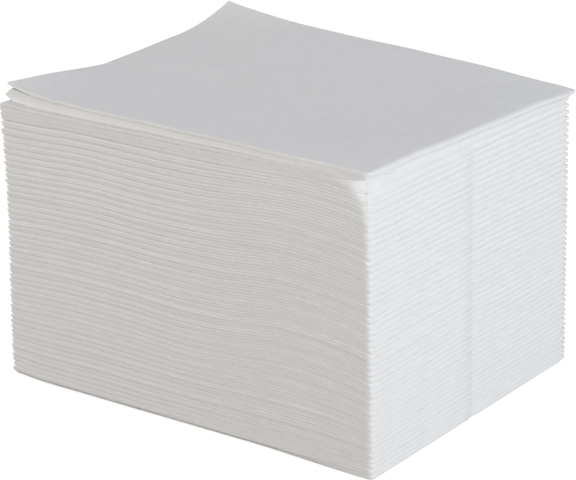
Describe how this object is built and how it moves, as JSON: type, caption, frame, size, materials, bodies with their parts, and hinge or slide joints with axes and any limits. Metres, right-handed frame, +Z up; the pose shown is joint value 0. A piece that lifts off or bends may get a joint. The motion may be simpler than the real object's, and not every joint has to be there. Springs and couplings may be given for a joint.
{
  "type": "stack of folded airlaid wipes",
  "caption": "Stack of plain white airlaid wipes, each sheet folded in from its sides and then in half, with the open end of the uppermost one curling up; for wiping and drying.",
  "frame": {"origin": "middle of the stack's outline seen from above, on the surface that it stands on", "axes": "+X along the folded wipes towards their half folds, +Y across them, +Z up through the stack"},
  "size_m": [0.1927, 0.1534, 0.1395],
  "materials": {
    "airlaid": "soft matt white nonwoven with fine fibre mottling"
  },
  "bodies": {
    "root": {"wipe_01": "airlaid", "wipe_02": "airlaid", "wipe_03": "airlaid", "wipe_04": "airlaid", "wipe_05": "airlaid", "wipe_06": "airlaid", "wipe_07": "airlaid", "wipe_08": "airlaid", "wipe_09": "airlaid", "wipe_10": "airlaid", "wipe_11": "airlaid", "wipe_12": "airlaid", "wipe_13": "airlaid", "wipe_14": "airlaid", "wipe_15": "airlaid", "wipe_16": "airlaid", "wipe_17": "airlaid", "wipe_18": "airlaid", "wipe_19": "airlaid", "wipe_20": "airlaid", "wipe_21": "airlaid", "wipe_22": "airlaid", "wipe_23": "airlaid", "wipe_24": "airlaid", "wipe_25": "airlaid", "wipe_26": "airlaid", "wipe_27": "airlaid", "wipe_28": "airlaid", "wipe_29": "airlaid", "wipe_30": "airlaid", "wipe_31": "airlaid", "wipe_32": "airlaid", "wipe_33": "airlaid", "wipe_34": "airlaid", "wipe_35": "airlaid", "wipe_36": "airlaid", "wipe_37": "airlaid", "wipe_38": "airlaid", "wipe_39": "airlaid", "wipe_40": "airlaid", "wipe_41": "airlaid", "wipe_42": "airlaid", "wipe_43": "airlaid", "wipe_44": "airlaid", "wipe_45": "airlaid", "wipe_46": "airlaid", "wipe_47": "airlaid", "wipe_48": "airlaid", "wipe_49": "airlaid", "wipe_50": "airlaid"}
  },
  "joints": []
}
